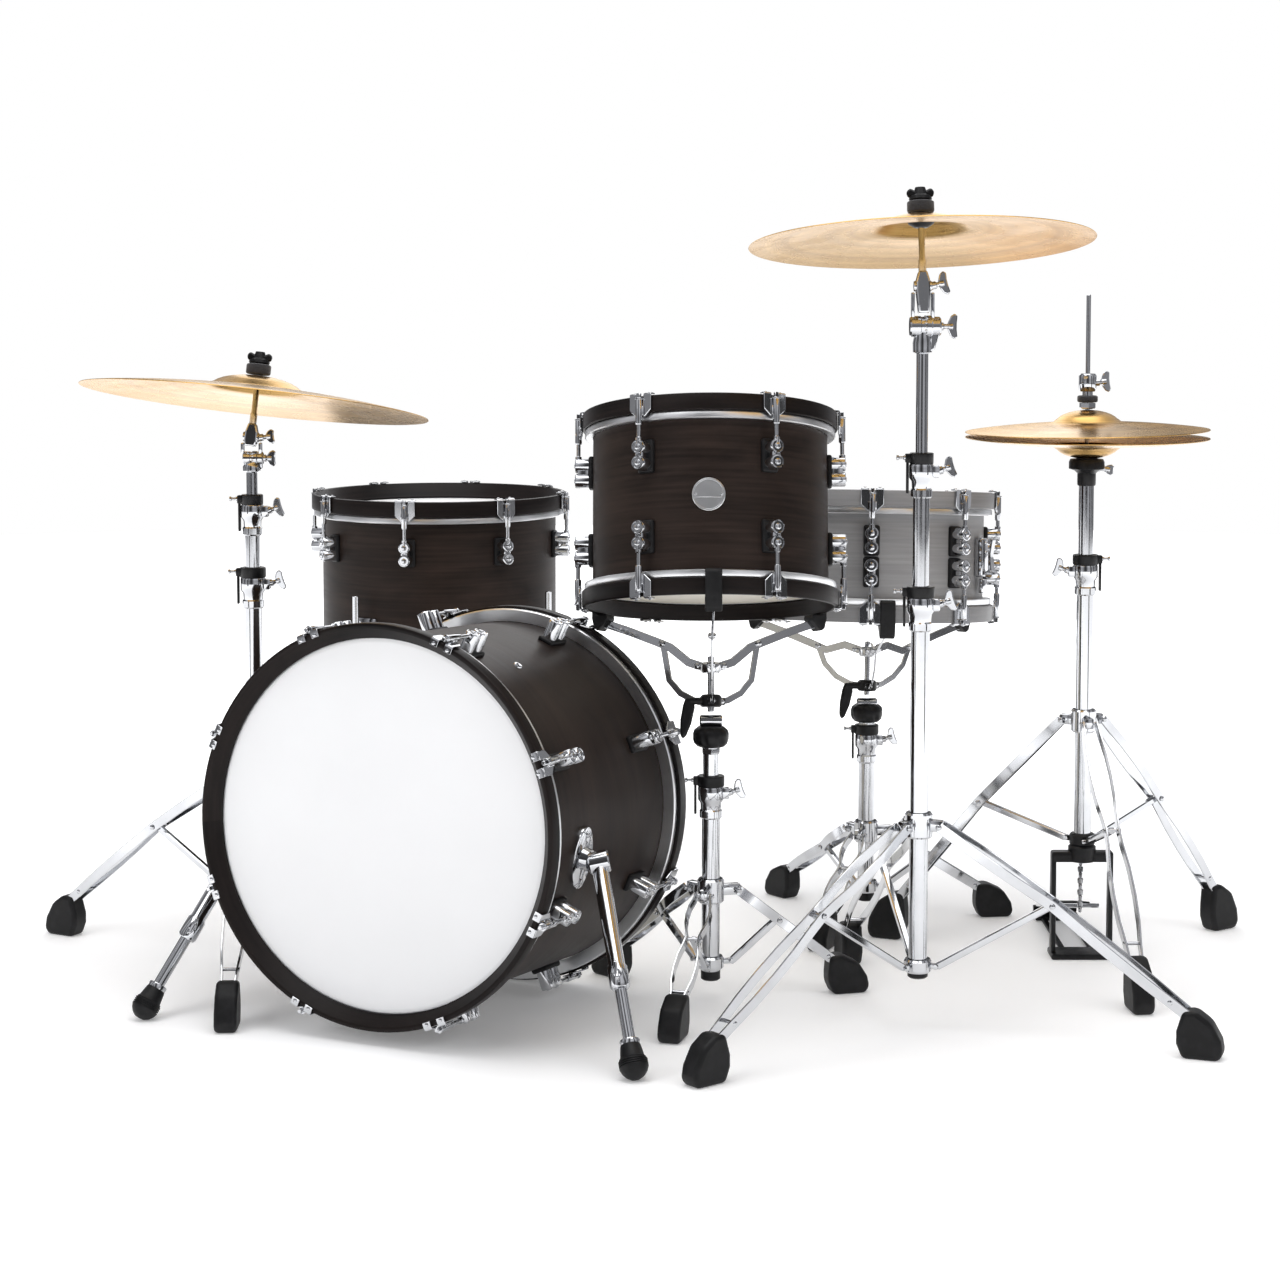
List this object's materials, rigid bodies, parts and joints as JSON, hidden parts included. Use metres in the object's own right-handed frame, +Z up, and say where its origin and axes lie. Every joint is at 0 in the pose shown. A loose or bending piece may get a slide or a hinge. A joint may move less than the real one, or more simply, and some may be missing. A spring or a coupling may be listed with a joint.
{
  "type": "acoustic drum kit",
  "caption": "Acoustic drum kit: bass drum on spurs, floor tom, rack tom and snare in basket stands, hi-hat with pedal, and two cymbals on tripod stands.",
  "frame": {"origin": "on the floor, under the middle of the kit", "axes": "+Z up; the front of the kit, which the audience sees, faces -Y; +X is to the right of someone who looks at the front"},
  "size_m": [1.8728, 1.593, 1.1362],
  "materials": {
    "walnut_stain": "satin, open grain",
    "black_stain": "satin",
    "grey_stain": "satin",
    "white_head": "smooth white film",
    "coated_head": "coated white film",
    "clear_head": "clear film over a light inside",
    "bronze": "lathed, brushed sheen",
    "chrome": "polished",
    "flesh_hoop": "satin",
    "rubber": "moulded black",
    "black_plastic": "moulded black",
    "felt": "dense dark felt",
    "maple_ply": "bare inside face"
  },
  "bodies": {
    "kit_base": {"bass_shell": "walnut_stain", "bass_hoop_front": "black_stain", "bass_hoop_rear": "black_stain", "bass_head_front": "white_head", "bass_head_rear": "white_head", "floor_tom_shell": "walnut_stain", "floor_tom_hoop_top": "black_stain", "floor_tom_hoop_bottom": "black_stain", "floor_tom_head_top": "coated_head", "floor_tom_head_bottom": "clear_head", "crash_legs": "chrome", "crash_braces": "chrome", "crash_base_tube": "chrome", "ride_legs": "chrome", "ride_braces": "chrome", "ride_base_tube": "chrome", "tom_stand_legs": "chrome", "tom_stand_braces": "chrome", "tom_stand_base_tube": "chrome", "snare_stand_legs": "chrome", "snare_stand_braces": "chrome", "snare_stand_base_tube": "chrome", "hihat_legs": "chrome", "hihat_braces": "chrome", "hihat_frame": "chrome"},
    "spur_right": {"bass_spur_right": "chrome"},
    "spur_left": {"bass_spur_left": "chrome"},
    "floor_tom_leg_1": {"floor_tom_leg_1": "chrome"},
    "floor_tom_leg_2": {"floor_tom_leg_2": "chrome"},
    "floor_tom_leg_3": {"floor_tom_leg_3": "chrome"},
    "tom_stand_tube": {"tom_stand_upper_tube": "chrome"},
    "tom": {"tom_basket": "chrome", "tom_shell": "walnut_stain", "tom_hoop_top": "black_stain", "tom_hoop_bottom": "black_stain", "tom_head_top": "coated_head", "tom_head_bottom": "clear_head"},
    "snare_stand_tube": {"snare_stand_upper_tube": "chrome"},
    "snare": {"snare_basket": "chrome", "snare_shell": "grey_stain", "snare_hoop_top": "grey_stain", "snare_hoop_bottom": "grey_stain", "snare_head_top": "coated_head", "snare_head_bottom": "clear_head"},
    "snare_lever": {"snare_throw_lever": "chrome"},
    "hihat_tube": {"hihat_upper_tube": "chrome", "hihat_cymbal_bottom": "bronze"},
    "hihat_rod": {"hihat_pull_rod": "chrome"},
    "hihat_top": {"hihat_cymbal_top": "bronze", "hihat_clutch": "chrome"},
    "hihat_pedal": {"hihat_footboard": "chrome"},
    "crash_middle": {"crash_middle_tube": "chrome"},
    "crash_upper": {"crash_upper_tube": "chrome"},
    "crash_tilt_head": {"crash_tilter": "chrome"},
    "crash_plate": {"crash_cymbal": "bronze"},
    "ride_middle": {"ride_middle_tube": "chrome"},
    "ride_upper": {"ride_upper_tube": "chrome"},
    "ride_tilt_head": {"ride_tilter": "chrome"},
    "ride_plate": {"ride_cymbal": "bronze"}
  },
  "joints": [
    {"name": "spur_right_fold", "type": "hinge", "parent": "kit_base", "child": "spur_right", "pos_m": [-0.05821, -0.58137, 0.24484], "axis": [-0.8878, 0.4387, 0.139], "range_deg": [0, 70]},
    {"name": "spur_left_fold", "type": "hinge", "parent": "kit_base", "child": "spur_left", "pos_m": [-0.54878, -0.34316, 0.24484], "axis": [-0.8938, 0.4264, -0.139], "range_deg": [0, 70]},
    {"name": "floor_tom_leg_1_slide", "type": "slide", "parent": "kit_base", "child": "floor_tom_leg_1", "axis": [0, 0, 1], "range_m": [0, 0.1]},
    {"name": "floor_tom_leg_2_slide", "type": "slide", "parent": "kit_base", "child": "floor_tom_leg_2", "axis": [0, 0, 1], "range_m": [0, 0.1]},
    {"name": "floor_tom_leg_3_slide", "type": "slide", "parent": "kit_base", "child": "floor_tom_leg_3", "axis": [0, 0, 1], "range_m": [0, 0.1]},
    {"name": "tom_height", "type": "slide", "parent": "kit_base", "child": "tom_stand_tube", "axis": [0, 0, 1], "range_m": [0, 0.1]},
    {"name": "tom_tilt", "type": "hinge", "parent": "tom_stand_tube", "child": "tom", "pos_m": [0.0933, -0.3615, 0.404], "axis": [-1, 0, 0], "range_deg": [-13, 8]},
    {"name": "snare_height", "type": "slide", "parent": "kit_base", "child": "snare_stand_tube", "axis": [0, 0, 1], "range_m": [0, 0.08]},
    {"name": "snare_tilt", "type": "hinge", "parent": "snare_stand_tube", "child": "snare", "pos_m": [0.3493, 0.1275, 0.352], "axis": [-1, 0, 0], "range_deg": [-10, 10]},
    {"name": "snare_throw_off", "type": "hinge", "parent": "snare", "child": "snare_lever", "pos_m": [0.53432, 0.05644, 0.55577], "axis": [0.4383, 0.8947, -0.086], "range_deg": [0, 75]},
    {"name": "hihat_height", "type": "slide", "parent": "kit_base", "child": "hihat_tube", "axis": [0, 0, 1], "range_m": [-0.05, 0.08]},
    {"name": "hihat_rod_pull", "type": "slide", "parent": "kit_base", "child": "hihat_rod", "axis": [0, 0, 1], "range_m": [-0.005, 0], "stiffness_N_per_m": 1500, "springref_m": 0.025},
    {"name": "hihat_clutch_set", "type": "slide", "parent": "hihat_rod", "child": "hihat_top", "axis": [0, 0, 1], "range_m": [-0.05, 0.08]},
    {"name": "hihat_pedal_press", "type": "hinge", "parent": "kit_base", "child": "hihat_pedal", "pos_m": [0.6513, 0.1485, 0.02], "axis": [1, 0, 0], "range_deg": [0, 1.3]},
    {"name": "crash_middle_height", "type": "slide", "parent": "kit_base", "child": "crash_middle", "axis": [0, 0, 1], "range_m": [-0.06, 0.09]},
    {"name": "crash_upper_height", "type": "slide", "parent": "crash_middle", "child": "crash_upper", "axis": [0, 0, 1], "range_m": [-0.06, 0.08]},
    {"name": "crash_tilt", "type": "hinge", "parent": "crash_upper", "child": "crash_tilt_head", "pos_m": [0.3683, -0.5115, 1], "axis": [-1, 0, 0], "range_deg": [-28, 30]},
    {"name": "crash_rock", "type": "hinge", "parent": "crash_tilt_head", "child": "crash_plate", "pos_m": [0.36617, -0.49842, 1.09306], "axis": [-0.9997, -0.0032, -0.0225], "range_deg": [-4, 4], "stiffness_Nm_per_rad": 4},
    {"name": "ride_middle_height", "type": "slide", "parent": "kit_base", "child": "ride_middle", "axis": [0, 0, 1], "range_m": [-0.04, 0.09]},
    {"name": "ride_upper_height", "type": "slide", "parent": "ride_middle", "child": "ride_upper", "axis": [0, 0, 1], "range_m": [-0.03, 0.08]},
    {"name": "ride_tilt", "type": "hinge", "parent": "ride_upper", "child": "ride_tilt_head", "pos_m": [-0.5737, -0.1405, 0.779], "axis": [-1, 0, 0], "range_deg": [-28, 30]},
    {"name": "ride_rock", "type": "hinge", "parent": "ride_tilt_head", "child": "ride_plate", "pos_m": [-0.56511, -0.12869, 0.86578], "axis": [-0.9952, 0.0132, 0.0967], "range_deg": [-4, 4], "stiffness_Nm_per_rad": 4}
  ],
  "couplings": [
    {"joint": "hihat_pedal_press", "follows": "hihat_rod_pull", "rad_per_m": -4.386},
    {"joint": "hihat_clutch_set", "follows": "hihat_height", "ratio": 1}
  ]
}
